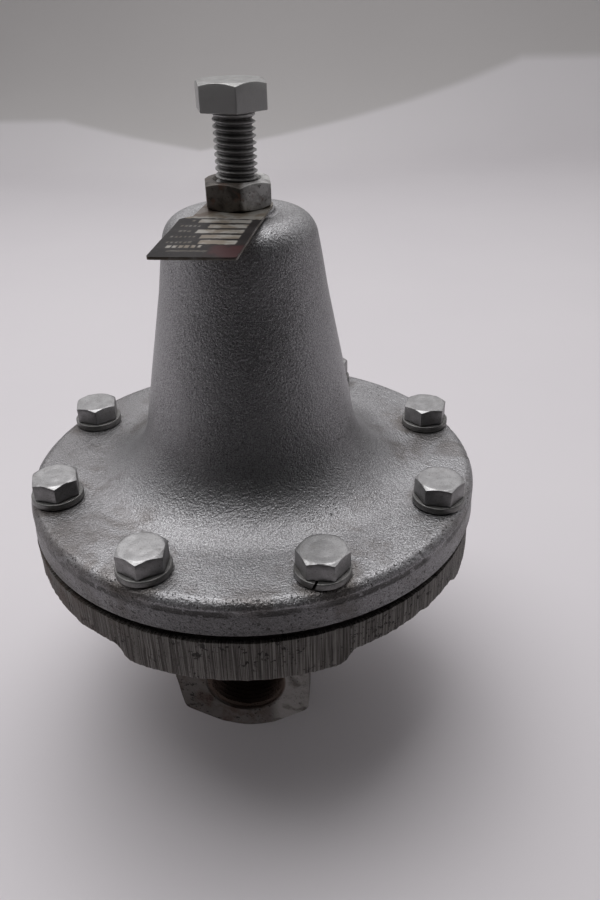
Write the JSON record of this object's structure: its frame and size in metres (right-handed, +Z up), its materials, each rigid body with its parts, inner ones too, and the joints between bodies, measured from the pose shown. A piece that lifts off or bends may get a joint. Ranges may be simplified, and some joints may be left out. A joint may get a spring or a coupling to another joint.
{
  "type": "pressure reducing valve",
  "caption": "Direct-acting pressure reducing valve: cone spring cage bolted over a diaphragm to a globe body with two screwed ports, set by a top screw.",
  "frame": {"origin": "centre of the bottom cap's underside, on the valve axis", "axes": "+Z up along the valve and adjusting screw axis, flow along Y with the outlet port facing -Y, +X to the right seen from the outlet"},
  "size_m": [0.158, 0.158, 0.229],
  "materials": {
    "body_iron": "raw cast iron with machined flange edge, light rust",
    "seat_bronze": "turned bronze",
    "bushing_bronze": "turned bronze",
    "cap_iron": "machined iron, dull",
    "gasket_fibre": "compressed fibre",
    "flange_gasket": "compressed fibre, dark",
    "diaphragm_rubber": "cloth-backed rubber",
    "silver_paint": "aluminium paint over sand-cast iron, worn at the rim",
    "bolt_zinc": "dull zinc plate",
    "washer_zinc": "dull zinc plate",
    "plate_print": "black printed metal with blank pale fields",
    "nut_steel": "zinc plate with rust and dirt",
    "screw_zinc": "zinc plate, worn",
    "button_steel": "zinc plated",
    "spring_steel": "blued spring steel",
    "stem_stainless": "ground stainless",
    "plug_bronze": "turned bronze",
    "disc_rubber": "moulded rubber",
    "plate_steel": "zinc plated",
    "nut_plated": "zinc plated",
    "spring_stainless": "drawn stainless wire"
  },
  "bodies": {
    "housing": {"valve_body": "body_iron", "seat_ring": "seat_bronze", "guide_bushing": "bushing_bronze", "bottom_cap": "cap_iron", "bottom_gasket": "gasket_fibre", "lower_gasket": "flange_gasket", "diaphragm": "diaphragm_rubber", "upper_gasket": "flange_gasket", "spring_cage": "silver_paint", "cover_bolts": "bolt_zinc", "lock_washers": "washer_zinc", "nameplate": "plate_print", "return_spring": "spring_stainless"},
    "jam_nut": {"jam_nut": "nut_steel"},
    "button": {"spring_button": "button_steel", "range_spring": "spring_steel"},
    "screw": {"adjusting_screw": "screw_zinc"},
    "plunger": {"valve_stem": "stem_stainless", "valve_plug": "plug_bronze", "seat_disc": "disc_rubber", "disc_retainer": "plug_bronze", "lower_diaphragm_plate": "plate_steel", "upper_diaphragm_plate": "plate_steel", "plate_nut": "nut_plated"}
  },
  "joints": [
    {"name": "screw_travel", "type": "slide", "parent": "housing", "child": "button", "axis": [0, 0, -1], "range_m": [0, 0.01563], "deforming": ["range_spring"]},
    {"name": "screw_turn", "type": "hinge", "parent": "button", "child": "screw", "pos_m": [0, 0, 0.2], "axis": [0, 0, -1], "range_deg": [0, 2880]},
    {"name": "jam_nut_turn", "type": "hinge", "parent": "housing", "child": "jam_nut", "pos_m": [0, 0, 0.198], "axis": [0, 0, 1], "range_deg": [0, 180]},
    {"name": "valve_lift", "type": "slide", "parent": "housing", "child": "plunger", "axis": [0, 0, -1], "range_m": [0, 0.003], "stiffness_N_per_m": 2500, "springref_m": -0.006, "deforming": ["return_spring", "diaphragm"]}
  ],
  "couplings": [
    {"joint": "screw_turn", "follows": "screw_travel", "rad_per_m": 3215.8}
  ]
}
